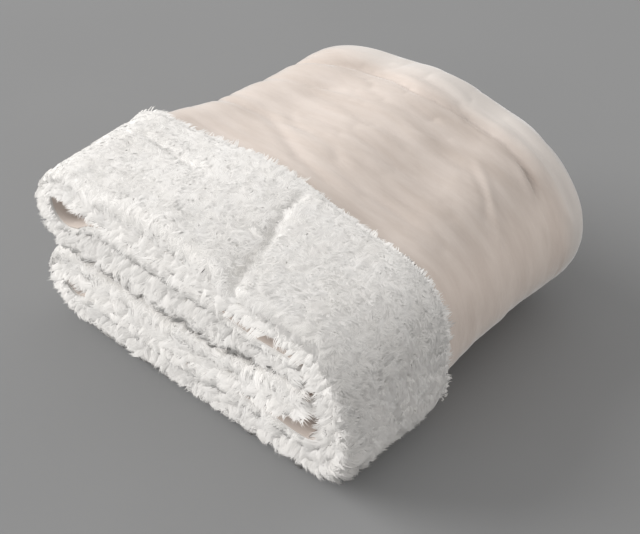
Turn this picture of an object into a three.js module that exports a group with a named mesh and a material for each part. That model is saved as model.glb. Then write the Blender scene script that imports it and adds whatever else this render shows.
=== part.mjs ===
// A sherpa throw, folded for a shelf, with one end turned back as a fluffy cuff.
//
// The cloth is two plies sewn back to back: smooth plush outside and a thick sherpa pile inside.
// It is folded twice. The first fold runs along Y: the cloth lies in three layers, and the near
// end of the outer one is turned back over the body, sherpa side out. The second fold runs
// across X: the layered strip goes back and forth in four runs, stacked in Z.
// Everything is in millimetres, +Z is up, and the bundle stands on z = 0.

import * as THREE from 'three';

// The strip of three layers, at the thickness it has before it is pressed or let out
const STRIP_THICKNESS = 44;
const CLOTH_THICKNESS = 12.8;
const PLUSH_THICKNESS = 2.4;
const PLY_GAP = 0.8;
const SHERPA_THICKNESS = CLOTH_THICKNESS - PLUSH_THICKNESS - PLY_GAP;

// Depth of the middle of each layer, below the outer face of the cuff
const CUFF_TO_BODY = 15;
const BODY_TO_RETURN = 15.6;
const CUFF_DEPTH = CLOTH_THICKNESS / 2;
const BODY_DEPTH = CUFF_DEPTH + CUFF_TO_BODY;
const RETURN_DEPTH = BODY_DEPTH + BODY_TO_RETURN;
const BODY_FACE = BODY_DEPTH - CLOTH_THICKNESS / 2;

// The folds along Y. The inner layer's hem lies a little behind the near end.
const NEAR_Y = -170;
const FAR_Y = 188;
const CUFF_EDGE_Y = -38;
const HEM_SETBACK = 5;
const FAR_FOLD_RADIUS = 13;
const HEM_TURN = 4;

// The cuff's edge bows back in the middle of the top, by place on the route
const CUFF_BOW = { length: 10, from: 1.7, fullFrom: 2.6, fullTo: 2.7, to: 3.5, fadeLength: 30 };

// How far each end of the bundle draws back towards its top, bottom, open side and wrap side
const END_ROUNDING = {
  near: { top: 9, bottom: 10, openSide: 5, wrapSide: 3, power: 3 },
  far: { top: 19, bottom: 36, openSide: 42, wrapSide: 21, power: 2.4 },
};

// The folded section at three places along Y: x and z of its rolls, runs and seams
const SECTIONS = [
  {
    at: -52, topRollX: -142, topRollReach: 43, lowRollX: -140, lowRollReach: 39,
    wrapX: 108, wrapReach: 81, wrapSquareness: 3.1, run2EndX: 130, run3EndX: 136,
    top: 168, crown: 10, upperSeam: 137, middle: 86, lowerSeam: 41, middleRise: 22,
  },
  {
    at: 32, topRollX: -106, topRollReach: 54, lowRollX: -122, lowRollReach: 46,
    wrapX: 97, wrapReach: 86, wrapSquareness: 2.3, run2EndX: 124, run3EndX: 128,
    top: 164, crown: 16, upperSeam: 135, middle: 88, lowerSeam: 42, middleRise: 18,
  },
  {
    at: 186, topRollX: -62, topRollReach: 72, lowRollX: -80, lowRollReach: 52,
    wrapX: 80, wrapReach: 93, wrapSquareness: 2.05, run2EndX: 104, run3EndX: 108,
    top: 170, crown: 11, upperSeam: 134, middle: 91, lowerSeam: 45, middleRise: 8,
  },
];
const MIDDLE_GAP = 1.6;
const RISE_FROM_X = 32;
const RISE_TO_X = 115;

// The route through the section, in order: second run, top roll, first run (the top of the
// bundle), big wrap, fourth run (the bottom), low roll, third run. Each is one unit of route.
const RUN_2 = 0;
const TOP_ROLL = 1;
const RUN_1 = 2;
const WRAP = 3;
const RUN_4 = 4;
const LOW_ROLL = 5;
const RUN_3 = 6;
const ROUTE_END = 7;

// How much of its thickness the strip keeps where it bends or ends, by place on the route
const KEPT_THICKNESS = [
  { at: 0.00, kept: 0.66 }, { at: 0.06, kept: 0.74 }, { at: 0.14, kept: 0.80 },
  { at: 0.21, kept: 0.86 }, { at: 0.30, kept: 0.99 }, { at: 0.36, kept: 1.00 },
  { at: 0.84, kept: 1.00 }, { at: 0.90, kept: 0.90 },
  { at: 1.00, kept: 0.53 }, { at: 1.25, kept: 0.47 }, { at: 1.50, kept: 0.46 },
  { at: 1.75, kept: 0.62 }, { at: 2.00, kept: 0.90 }, { at: 2.12, kept: 1.00 },
  { at: 3.00, kept: 1.02 }, { at: 3.28, kept: 1.22 }, { at: 3.50, kept: 1.00 },
  { at: 3.72, kept: 1.32 }, { at: 4.00, kept: 1.26 }, { at: 4.24, kept: 1.24 },
  { at: 4.50, kept: 1.00 }, { at: 4.86, kept: 1.00 }, { at: 5.00, kept: 0.82 }, { at: 5.25, kept: 0.62 },
  { at: 5.50, kept: 0.50 }, { at: 5.75, kept: 0.62 }, { at: 6.00, kept: 0.82 },
  { at: 6.12, kept: 1.00 }, { at: 6.42, kept: 0.99 }, { at: 6.66, kept: 0.78 },
  { at: 6.82, kept: 0.78 }, { at: 6.91, kept: 0.74 }, { at: 7.00, kept: 0.58 },
];

// How far past the cuff edge the body takes to swell back to the section's outline
const SWELL_LENGTH = [
  { at: 0.0, length: 45 }, { at: 1.0, length: 60 }, { at: 1.5, length: 220 },
  { at: 3.7, length: 220 }, { at: 4.0, length: 130 }, { at: 4.3, length: 45 },
  { at: 7.0, length: 45 },
];

// A soft trough runs aslant over the top of the cuff and down its rounded end
const TROUGH = { depth: 8, halfWidth: 14, xAtEnd: 57, xAtFade: 23, fadeFromY: -120, fadeToY: -45 };

// Long soft wrinkles of the plush, about parallel to the cuff edge
const WRINKLES = [
  { depth: 2.2, spacing: 96, slant: 16, shift: 10 },
  { depth: 1.3, spacing: 57, slant: -11, shift: 31 },
];

// Where the wrinkles show: from and to on the route, and their distance from the two folds
const WRINKLED = {
  from: 1.2, fullFrom: 1.9, fullTo: 3.6, to: 3.9, cuffFade: 40, farFade: 50, farSmooth: 15,
};

// Places on the route where the section is drawn, and the number of steps round each bend
const RUN_STEPS = {
  [RUN_2]: [0, 0.09, 0.2, 0.32, 0.6, 0.86, 0.93],
  [RUN_1]: [0, 0.14, 0.34, 0.54, 0.66, 0.71, 0.76, 0.81, 0.88],
  [RUN_4]: [0, 0.3, 0.6, 0.86],
  [RUN_3]: [0, 0.12, 0.4, 0.66, 0.8, 0.9, 1],
};
const BEND_STEPS = { [TOP_ROLL]: 6, [WRAP]: 8, [LOW_ROLL]: 6 };

// Places along Y where each layer is drawn, and the number of steps round each fold
const CUFF_STATIONS = [CUFF_EDGE_Y, -48, -72, -98, -124];
const BODY_STATIONS = [-124, -90, -56, -34, -14, 14, 44, 74, 104, 136];
const RETURN_STATIONS = [128, 70, 20, -14, -40, -66, -115, NEAR_Y + HEM_SETBACK];
const NEAR_FOLD_STEPS = 6;
const FAR_FOLD_STEPS = 5;

// Step on the route that gives its direction
const ROUTE_STEP = 1e-4;

const mix = (a, b, t) => a + (b - a) * t;
const smooth = (from, to, v) => THREE.MathUtils.smoothstep(v, from, to);

// A column's value between two rows of a table; before the first row or past the last, theirs
function readTable(table, column, at) {
  const next = table.findIndex((row) => row.at >= at);
  if (next < 0) return table[table.length - 1][column];
  if (next === 0) return table[0][column];
  const before = table[next - 1];
  const after = table[next];
  const t = (at - before.at) / (after.at - before.at);
  return mix(before[column], after[column], t);
}

function sectionAt(y) {
  const sizes = {};
  for (const name of Object.keys(SECTIONS[0])) sizes[name] = readTable(SECTIONS, name, y);
  return sizes;
}

const middleHeight = (size, x) => size.middle + size.middleRise * smooth(RISE_FROM_X, RISE_TO_X, x);

function topHeight(size, x) {
  const halfWidth = (size.wrapX - size.topRollX) / 2;
  const off = (x - (size.wrapX + size.topRollX) / 2) / halfWidth;
  return size.top + size.crown * Math.cos(off * Math.PI / 2) ** 2;
}

// A half turn from below to above on the -X side, or from above to below on the +X side
function bend(centreX, reach, low, high, turn, side, squareness = 2) {
  const angle = (turn - 0.5) * Math.PI;
  const across = Math.cos(angle) ** (2 / squareness);
  const up = Math.sign(Math.sin(angle)) * Math.abs(Math.sin(angle)) ** (2 / squareness);
  const x = centreX + side * reach * across;
  const z = (low + high) / 2 - side * up * (high - low) / 2;
  return new THREE.Vector2(x, z);
}

// A point of the strip's outer face in the section at y
function routePoint(route, size) {
  const leg = Math.min(Math.floor(route), RUN_3);
  const t = route - leg;
  if (leg === RUN_2) {
    const x = mix(size.run2EndX, size.topRollX, t);
    return new THREE.Vector2(x, middleHeight(size, x) + MIDDLE_GAP / 2);
  }
  if (leg === TOP_ROLL) {
    return bend(size.topRollX, size.topRollReach, size.middle + MIDDLE_GAP / 2, size.top, t, -1);
  }
  if (leg === RUN_1) {
    const x = mix(size.topRollX, size.wrapX, t);
    return new THREE.Vector2(x, topHeight(size, x));
  }
  if (leg === WRAP) {
    return bend(size.wrapX, size.wrapReach, 0, size.top, t, 1, size.wrapSquareness);
  }
  if (leg === RUN_4) {
    return new THREE.Vector2(mix(size.wrapX, size.lowRollX, t), 0);
  }
  if (leg === LOW_ROLL) {
    return bend(size.lowRollX, size.lowRollReach, 0, size.middle - MIDDLE_GAP / 2, t, -1);
  }
  const x = mix(size.lowRollX, size.run3EndX, t);
  return new THREE.Vector2(x, middleHeight(size, x) - MIDDLE_GAP / 2);
}

// Room for the strip between its outer face and the seam where it meets the next run
function fullThickness(route, size, x) {
  const second = size.upperSeam - middleHeight(size, x) - MIDDLE_GAP / 2;
  const first = topHeight(size, x) - size.upperSeam;
  const third = middleHeight(size, x) - MIDDLE_GAP / 2 - size.lowerSeam;
  if (route < TOP_ROLL) return second;
  if (route < RUN_1) {
    const ends = [size.upperSeam - size.middle, size.top - size.upperSeam];
    return mix(ends[0], ends[1], route - TOP_ROLL);
  }
  if (route < WRAP) return first;
  if (route < RUN_4) return mix(size.top - size.upperSeam, size.lowerSeam, route - WRAP);
  if (route < LOW_ROLL) return size.lowerSeam;
  if (route < RUN_3) return mix(size.lowerSeam, size.middle - size.lowerSeam, route - LOW_ROLL);
  return third;
}

// The trough deepens towards the end of the bundle
function troughDepth(route, x, y) {
  if (route < RUN_1 || route > WRAP) return 0;
  const grown = 1 - smooth(TROUGH.fadeFromY, TROUGH.fadeToY, y);
  const line = (TROUGH.fadeToY - y) / (TROUGH.fadeToY - NEAR_Y);
  const centre = mix(TROUGH.xAtFade, TROUGH.xAtEnd, line);
  const off = (x - centre) / TROUGH.halfWidth;
  return TROUGH.depth * grown * Math.exp(-off * off);
}

// The wrinkles fade out with depth, so that the layers under them stay apart
function wrinkleDepth(route, y, depth) {
  const shown = smooth(WRINKLED.from, WRINKLED.fullFrom, route)
    * (1 - smooth(WRINKLED.fullTo, WRINKLED.to, route));
  const begun = smooth(CUFF_EDGE_Y, CUFF_EDGE_Y + WRINKLED.cuffFade, y)
    * (1 - smooth(FAR_Y - WRINKLED.farFade, FAR_Y - WRINKLED.farSmooth, y));
  let inward = 0;
  for (const wave of WRINKLES) {
    inward += wave.depth * Math.sin(2 * Math.PI * (y - wave.shift + wave.slant * route) / wave.spacing);
  }
  return inward * shown * begun * (1 - smooth(BODY_FACE, RETURN_DEPTH, depth));
}

// The ends of the bundle are rounded, from top to bottom and from side to side
function endedY(x, y, z, size) {
  const near = y < CUFF_EDGE_Y;
  const rounding = near ? END_ROUNDING.near : END_ROUNDING.far;
  const share = near
    ? (CUFF_EDGE_Y - y) / (CUFF_EDGE_Y - NEAR_Y)
    : ((y - CUFF_EDGE_Y) / (FAR_Y - CUFF_EDGE_Y)) ** 2;

  const openX = size.topRollX - size.topRollReach;
  const wrapX = size.wrapX + size.wrapReach;
  const offX = (x - (openX + wrapX) / 2) / ((wrapX - openX) / 2);
  const offZ = z / ((size.top + size.crown) / 2) - 1;
  const inset = (offX < 0 ? rounding.openSide : rounding.wrapSide) * Math.abs(offX) ** rounding.power
    + (offZ < 0 ? rounding.bottom : rounding.top) * Math.abs(offZ) ** rounding.power;
  return near ? y + inset * share : y - inset * share;
}

// From a place on the route, a place along Y and a depth in the strip, to a point in space
function placed(route, y, depth) {
  const size = sectionAt(y);
  const here = routePoint(route, size);
  const before = routePoint(Math.max(route - ROUTE_STEP, 0), size);
  const after = routePoint(Math.min(route + ROUTE_STEP, ROUTE_END), size);
  const along = after.sub(before).normalize();
  const outward = new THREE.Vector2(-along.y, along.x);

  const pressedIn = troughDepth(route, here.x, y);
  const kept = readTable(KEPT_THICKNESS, 'kept', route);
  const thickness = fullThickness(route, size, here.x) * kept - pressedIn;
  const swell = smooth(CUFF_EDGE_Y, CUFF_EDGE_Y + readTable(SWELL_LENGTH, 'length', route), y);
  const bodyShare = swell * BODY_FACE / STRIP_THICKNESS;
  const lift = thickness * bodyShare / (1 - bodyShare);
  const inward = pressedIn - lift + (thickness + lift) * depth / STRIP_THICKNESS
    + wrinkleDepth(route, y, depth);
  const flat = here.addScaledVector(outward, -inward);
  return new THREE.Vector3(flat.x, endedY(flat.x, y, flat.y, size), flat.y);
}

// The middle line of the cloth through its three layers, from the cuff's hem to the inner hem.
// Each station has its place along Y, its depth, and the direction of the sherpa side there.
function clothStations() {
  const stations = [];
  const layer = (depth, places, up) => {
    for (const y of places) stations.push({ y, depth, sideY: 0, sideDepth: up });
  };
  const turn = (centreY, radiusY, fromDepth, toDepth, way, steps, sherpaOutside) => {
    for (let i = 0; i <= steps; i += 1) {
      const angle = Math.PI * i / steps;
      const outY = way * Math.sin(angle);
      const outDepth = -Math.cos(angle);
      stations.push({
        y: centreY + radiusY * outY,
        depth: (fromDepth + toDepth) / 2 + outDepth * (toDepth - fromDepth) / 2,
        sideY: sherpaOutside * outY,
        sideDepth: sherpaOutside * outDepth,
      });
    }
  };
  const nearRadius = (BODY_DEPTH - CUFF_DEPTH) / 2;
  const nearTurnY = NEAR_Y + CLOTH_THICKNESS / 2 + nearRadius;
  const farTurnY = FAR_Y - CLOTH_THICKNESS / 2 - FAR_FOLD_RADIUS;
  layer(CUFF_DEPTH, CUFF_STATIONS, -1);
  turn(nearTurnY, nearRadius, CUFF_DEPTH, BODY_DEPTH, -1, NEAR_FOLD_STEPS, 1);
  layer(BODY_DEPTH, BODY_STATIONS, 1);
  turn(farTurnY, FAR_FOLD_RADIUS, BODY_DEPTH, RETURN_DEPTH, 1, FAR_FOLD_STEPS, -1);
  layer(RETURN_DEPTH, RETURN_STATIONS, -1);
  return stations;
}

// The cuff, and no other layer, is longer in the middle of the top
function bowedY(y, depth, route) {
  if (depth > CUFF_TO_BODY) return y;
  const share = smooth(NEAR_Y + CUFF_BOW.fadeLength, CUFF_EDGE_Y, y);
  const middle = smooth(CUFF_BOW.from, CUFF_BOW.fullFrom, route)
    * (1 - smooth(CUFF_BOW.fullTo, CUFF_BOW.to, route));
  return y + CUFF_BOW.length * middle * share;
}

// One ply as a closed sheet: its outline in the strip, carried along the whole route
function plyGeometry(outer, inner, hemTurn) {
  const stations = clothStations();
  const last = stations.length - 1;
  const outline = [];
  const addSide = (offset, order) => {
    for (const i of order) {
      const station = stations[i];
      const tuckedIn = i === 0 || i === last ? HEM_TURN - hemTurn : 0;
      const y = station.y + station.sideY * offset - tuckedIn * (i === 0 ? 1 : -1);
      outline.push({ y, depth: station.depth + station.sideDepth * offset });
    }
  };
  const forward = stations.map((_, i) => i);
  addSide(outer, forward);
  addSide(inner, [...forward].reverse());

  const positions = [];
  const route = routeSteps();
  for (const at of route) {
    for (const point of outline) {
      positions.push(...placed(at, bowedY(point.y, point.depth, at), point.depth).toArray());
    }
  }

  // Both sides of a ply are split along the same diagonals, so that facing plies stay parallel
  const size = outline.length;
  const indices = [];
  for (let r = 0; r < route.length - 1; r += 1) {
    for (let i = 0; i < size; i += 1) {
      const a = r * size + i;
      const b = r * size + (i + 1) % size;
      if (i <= last) indices.push(a, b, a + size, b, b + size, a + size);
      else indices.push(a, b, b + size, a, b + size, a + size);
    }
  }
  const end = (route.length - 1) * size;
  for (let i = 0; i < last; i += 1) {
    const across = size - 1 - i;
    indices.push(i, across, i + 1, across, across - 1, i + 1);
    indices.push(end + i, end + i + 1, end + across, end + i + 1, end + across - 1, end + across);
  }

  const geometry = new THREE.BufferGeometry();
  geometry.setAttribute('position', new THREE.Float32BufferAttribute(positions, 3));
  geometry.setIndex(indices);
  geometry.computeVertexNormals();
  return geometry;
}

function routeSteps() {
  const steps = [];
  for (let leg = RUN_2; leg <= RUN_3; leg += 1) {
    const bends = BEND_STEPS[leg];
    const places = bends ? Array.from({ length: bends }, (_, i) => i / bends) : RUN_STEPS[leg];
    for (const place of places) steps.push(leg + place);
  }
  return steps;
}

const HALF = CLOTH_THICKNESS / 2;
const sherpaFace = { outer: HALF, inner: HALF - SHERPA_THICKNESS, hem: HEM_TURN };
const plushFace = { outer: -HALF + PLUSH_THICKNESS, inner: -HALF, hem: 0 };

const sherpa = new THREE.Mesh(
  plyGeometry(sherpaFace.outer, sherpaFace.inner, sherpaFace.hem),
  new THREE.MeshStandardMaterial({ color: 0xece9e3, roughness: 0.95, metalness: 0 }),
);
sherpa.name = 'sherpa_back';

const plush = new THREE.Mesh(
  plyGeometry(plushFace.outer, plushFace.inner, plushFace.hem),
  new THREE.MeshStandardMaterial({ color: 0xdccabd, roughness: 0.85, metalness: 0 }),
);
plush.name = 'plush_face';

// The origin is the middle of the footprint, on the surface that the bundle lies on
const blanket = new THREE.Group();
blanket.add(sherpa, plush);
const bounds = new THREE.Box3().setFromObject(blanket);
const centre = bounds.getCenter(new THREE.Vector3());
for (const ply of blanket.children) ply.position.set(-centre.x, -centre.y, 0);

export default blanket;
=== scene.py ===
"""A folded sherpa throw: smooth plush body, and one end turned back as a fluffy cuff."""

import math
from collections import namedtuple
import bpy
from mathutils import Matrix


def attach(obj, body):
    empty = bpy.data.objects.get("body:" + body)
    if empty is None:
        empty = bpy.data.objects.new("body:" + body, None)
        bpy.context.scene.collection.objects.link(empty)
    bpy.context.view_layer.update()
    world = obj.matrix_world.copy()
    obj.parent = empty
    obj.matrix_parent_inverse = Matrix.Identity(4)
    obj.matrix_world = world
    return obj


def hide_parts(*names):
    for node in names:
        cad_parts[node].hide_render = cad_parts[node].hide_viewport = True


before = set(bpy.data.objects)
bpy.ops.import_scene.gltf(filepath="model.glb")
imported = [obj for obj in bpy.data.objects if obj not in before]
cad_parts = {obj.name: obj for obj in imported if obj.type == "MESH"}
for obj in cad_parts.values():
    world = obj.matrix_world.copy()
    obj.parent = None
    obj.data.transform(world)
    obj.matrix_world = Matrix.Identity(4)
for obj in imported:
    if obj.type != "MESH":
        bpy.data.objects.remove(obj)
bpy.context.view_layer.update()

from types import SimpleNamespace as Settings

import bpy
import numpy as np
from mathutils import Vector

# The folded shape, in millimetres, as in the CAD source

STRIP_THICKNESS = 44
CLOTH_THICKNESS = 12.8
PLUSH_THICKNESS = 2.4
PLY_GAP = 0.8
HALF = CLOTH_THICKNESS / 2
CUFF_TO_BODY = 15
BODY_TO_RETURN = 15.6
CUFF_DEPTH = HALF
BODY_DEPTH = CUFF_DEPTH + CUFF_TO_BODY
RETURN_DEPTH = BODY_DEPTH + BODY_TO_RETURN
BODY_FACE = BODY_DEPTH - HALF

NEAR_Y = -170
FAR_Y = 188
CUFF_EDGE_Y = -38
HEM_SETBACK = 5
FAR_FOLD_RADIUS = 13
HEM_TURN = 4
CENTRE_X = 2.0
CENTRE_Y = 8.338

# The cuff's edge bows out over the plush, between these places on the route
CUFF_BOW = Settings(length=10, drawn_back=3.5, start=1.7, full_from=2.6, full_to=2.7, end=3.5,
                    fade_length=30)

# How far each end is drawn in at the rims of the bundle, and the power of that curve
END_ROUNDING = {
    "near": Settings(top=9, bottom=10, open_side=5, wrap_side=3, power=3),
    "far": Settings(top=19, bottom=36, open_side=42, wrap_side=21, power=2.4),
}

# The section across the bundle, at three places along Y
SECTION_PLACES = (-52, 32, 186)
SECTIONS = dict(
    top_roll_x=(-142, -106, -62), top_roll_reach=(43, 54, 72),
    low_roll_x=(-140, -122, -80), low_roll_reach=(39, 46, 52),
    wrap_x=(108, 97, 80), wrap_reach=(81, 86, 93), wrap_squareness=(3.1, 2.3, 2.05),
    run_2_end_x=(130, 124, 104), run_3_end_x=(136, 128, 108),
    top=(168, 164, 170), crown=(10, 16, 11),
    upper_seam=(137, 135, 134), middle=(86, 88, 91), lower_seam=(41, 42, 45),
    middle_rise=(22, 18, 8),
)
MIDDLE_GAP = 1.6
RISE_X = (32, 115)

# The strip's route round the section, from end to end: where each leg starts
RUN_2, TOP_ROLL, RUN_1, WRAP, RUN_4, LOW_ROLL, RUN_3, ROUTE_END = range(8)

# By place on the route, the share of the room between its seams that the strip fills
KEPT_THICKNESS = (
    (0, 0.66), (0.06, 0.74), (0.14, 0.8), (0.21, 0.86), (0.3, 0.99), (0.36, 1), (0.84, 1),
    (0.9, 0.9), (1, 0.53), (1.25, 0.47), (1.5, 0.46), (1.75, 0.62), (2, 0.9), (2.12, 1),
    (3, 1.02), (3.28, 1.22), (3.5, 1), (3.72, 1.32), (4, 1.26), (4.24, 1.24), (4.5, 1),
    (4.86, 1), (5, 0.82), (5.25, 0.62), (5.5, 0.5), (5.75, 0.62), (6, 0.82), (6.12, 1),
    (6.42, 0.99), (6.66, 0.78), (6.82, 0.78), (6.91, 0.74), (7, 0.58),
)
# By place on the route, the length in which the strip swells behind the cuff
SWELL_LENGTH = ((0, 45), (1, 60), (1.5, 220), (3.7, 220), (4, 130), (4.3, 45), (7, 45))
# The diagonal trough in the top of the cuff
TROUGH = Settings(depth=8, half_width=14, x_at_end=57, x_at_fade=23,
                  fade_from_y=-120, fade_to_y=-45)
# A short way along the route, to find its direction
ROUTE_STEP = 1e-4


def mix(a, b, t):
    return a + (b - a) * t


def smooth(zero_at, one_at, value):
    """A smooth step from zero to one; one_at may be below zero_at."""
    t = np.clip((value - zero_at) / (one_at - zero_at), 0, 1)
    return t * t * (3 - 2 * t)


def within(stretch, value):
    """One inside a stretch, zero outside: its start and its end are each (zero_at, one_at)."""
    start, end = stretch
    return smooth(*start, value) * smooth(*end, value)


def smooth_table(places, values, at):
    """A smooth curve through the rows of a table, which never swings past them."""
    x = np.array(places, float)
    v = np.array(values, float)
    gap = np.diff(x)
    slope = np.diff(v) / gap
    tangent = np.zeros(len(x))
    left, right = slope[:-1], slope[1:]
    same = left * right > 0
    wide = (2 * gap[1:] + gap[:-1])[same]
    narrow = (gap[1:] + 2 * gap[:-1])[same]
    tangent[1:-1][same] = (wide + narrow) / (wide / left[same] + narrow / right[same])
    at = np.clip(at, x[0], x[-1])
    i = np.clip(np.searchsorted(x, at) - 1, 0, len(gap) - 1)
    t = (at - x[i]) / gap[i]
    rise = t * t * (3 - 2 * t)
    return (mix(v[i], v[i + 1], rise)
            + gap[i] * (t * (1 - t) ** 2 * tangent[i] - t * t * (1 - t) * tangent[i + 1]))


def section_at(y):
    return Settings(**{name: smooth_table(SECTION_PLACES, row, y)
                       for name, row in SECTIONS.items()})


def middle_height(size, x):
    return size.middle + size.middle_rise * smooth(*RISE_X, x)


def top_height(size, x):
    half_width = (size.wrap_x - size.top_roll_x) / 2
    off = (x - (size.wrap_x + size.top_roll_x) / 2) / half_width
    return size.top + size.crown * np.cos(off * math.pi / 2) ** 2


def bend(centre_x, reach, low, high, turn, side, squareness=2):
    """One turn of the route, between two heights: its x and z."""
    angle = (turn - 0.5) * math.pi
    across = np.abs(np.cos(angle)) ** (2 / squareness)
    up = np.sign(np.sin(angle)) * np.abs(np.sin(angle)) ** (2 / squareness)
    return centre_x + side * reach * across, (low + high) / 2 - side * up * (high - low) / 2


def route_point(route, size):
    """The outer face of the strip in the section: its x and z at each place on the route."""
    leg = np.clip(np.floor(route), RUN_2, RUN_3)
    t = route - leg
    half_gap = MIDDLE_GAP / 2
    run_2_x = mix(size.run_2_end_x, size.top_roll_x, t)
    run_1_x = mix(size.top_roll_x, size.wrap_x, t)
    run_4_x = mix(size.wrap_x, size.low_roll_x, t)
    run_3_x = mix(size.low_roll_x, size.run_3_end_x, t)
    top_roll = bend(size.top_roll_x, size.top_roll_reach, size.middle + half_gap, size.top, t, -1)
    wrap = bend(size.wrap_x, size.wrap_reach, 0, size.top, t, 1, size.wrap_squareness)
    low_roll = bend(size.low_roll_x, size.low_roll_reach, 0, size.middle - half_gap, t, -1)
    on = [leg == n for n in range(ROUTE_END)]
    x = np.select(on, [run_2_x, top_roll[0], run_1_x, wrap[0], run_4_x, low_roll[0], run_3_x])
    z = np.select(on, [middle_height(size, run_2_x) + half_gap, top_roll[1],
                       top_height(size, run_1_x), wrap[1], 0, low_roll[1],
                       middle_height(size, run_3_x) - half_gap])
    return x, z


def full_thickness(route, size, x):
    """The room that the strip has between its seams."""
    middle = middle_height(size, x)
    second = size.upper_seam - middle - MIDDLE_GAP / 2
    third = middle - MIDDLE_GAP / 2 - size.lower_seam
    first = top_height(size, x) - size.upper_seam
    fourth = size.lower_seam
    over_top_roll = mix(size.upper_seam - size.middle, size.top - size.upper_seam,
                        route - TOP_ROLL)
    over_wrap = mix(size.top - size.upper_seam, fourth, route - WRAP)
    over_low_roll = mix(fourth, size.middle - fourth, route - LOW_ROLL)
    before = [route < n for n in (TOP_ROLL, RUN_1, WRAP, RUN_4, LOW_ROLL, RUN_3)]
    return np.select(before, [second, over_top_roll, first, over_wrap, fourth, over_low_roll],
                     third)


def trough_depth(route, x, y):
    grown = 1 - smooth(TROUGH.fade_from_y, TROUGH.fade_to_y, y)
    line = (TROUGH.fade_to_y - y) / (TROUGH.fade_to_y - NEAR_Y)
    centre = mix(TROUGH.x_at_fade, TROUGH.x_at_end, line)
    off = (x - centre) / TROUGH.half_width
    on_top = (route >= RUN_1) & (route <= WRAP)
    return np.where(on_top, TROUGH.depth * grown * np.exp(-off * off), 0)


def ended_y(x, y, z, size):
    """Places along Y, drawn in at the rims of both ends."""
    near = y < CUFF_EDGE_Y
    share = np.where(near, (CUFF_EDGE_Y - y) / (CUFF_EDGE_Y - NEAR_Y),
                     ((y - CUFF_EDGE_Y) / (FAR_Y - CUFF_EDGE_Y)) ** 2)
    open_x = size.top_roll_x - size.top_roll_reach
    wrap_x = size.wrap_x + size.wrap_reach
    off_x = (x - (open_x + wrap_x) / 2) / ((wrap_x - open_x) / 2)
    off_z = z / ((size.top + size.crown) / 2) - 1
    inset = {}
    for end, rounding in END_ROUNDING.items():
        side = np.where(off_x < 0, rounding.open_side, rounding.wrap_side)
        edge = np.where(off_z < 0, rounding.bottom, rounding.top)
        inset[end] = (side * np.abs(off_x) ** rounding.power
                      + edge * np.abs(off_z) ** rounding.power)
    return np.where(near, y + inset["near"] * share, y - inset["far"] * share)


def placed(route, y, depth):
    """Millimetre points for places on the route, places along Y and depths in the strip."""
    route, y, depth = np.broadcast_arrays(route, y, depth)
    size = section_at(y)
    x, z = route_point(route, size)
    x_before, z_before = route_point(np.maximum(route - ROUTE_STEP, 0), size)
    x_after, z_after = route_point(np.minimum(route + ROUTE_STEP, ROUTE_END), size)
    along_x, along_z = x_after - x_before, z_after - z_before
    length = np.hypot(along_x, along_z)
    out_x, out_z = -along_z / length, along_x / length

    pressed_in = trough_depth(route, x, y)
    kept = smooth_table(*zip(*KEPT_THICKNESS), route)
    thickness = full_thickness(route, size, x) * kept - pressed_in
    swell_length = smooth_table(*zip(*SWELL_LENGTH), route)
    swell = smooth(0, 1, (y - CUFF_EDGE_Y) / swell_length)
    body_share = swell * BODY_FACE / STRIP_THICKNESS
    lift = thickness * body_share / (1 - body_share)
    inward = pressed_in - lift + (thickness + lift) * depth / STRIP_THICKNESS
    flat_x, flat_z = x - out_x * inward, z - out_z * inward
    new_y = ended_y(flat_x, y, flat_z, size)
    return np.stack([flat_x - CENTRE_X, new_y - CENTRE_Y, flat_z], -1)


def cuff_bow(route, y):
    """How far the cuff reaches past its straight edge; its ends are drawn back a little."""
    share = smooth(NEAR_Y + CUFF_BOW.fade_length, CUFF_EDGE_Y, y)
    middle = (smooth(CUFF_BOW.start, CUFF_BOW.full_from, route)
              * (1 - smooth(CUFF_BOW.full_to, CUFF_BOW.end, route)))
    return (CUFF_BOW.length * middle - CUFF_BOW.drawn_back) * share


# The cloth's middle line, by its length from the cuff's hem: cuff, near fold, body, far fold,
# and the inner layer that comes back to its own hem

NEAR_RADIUS = (BODY_DEPTH - CUFF_DEPTH) / 2
NEAR_FOLD_Y = NEAR_Y + HALF + NEAR_RADIUS
FAR_FOLD_Y = FAR_Y - HALF - FAR_FOLD_RADIUS
FAR_RADIUS_DEPTH = (RETURN_DEPTH - BODY_DEPTH) / 2
NEAR_FOLD_AT = CUFF_EDGE_Y - NEAR_FOLD_Y
BODY_AT = NEAR_FOLD_AT + math.pi * NEAR_RADIUS
FAR_FOLD_AT = BODY_AT + FAR_FOLD_Y - NEAR_FOLD_Y
RETURN_AT = FAR_FOLD_AT + math.pi * (FAR_FOLD_RADIUS + FAR_RADIUS_DEPTH) / 2
CLOTH_LENGTH = RETURN_AT + FAR_FOLD_Y - (NEAR_Y + HEM_SETBACK)


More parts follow.
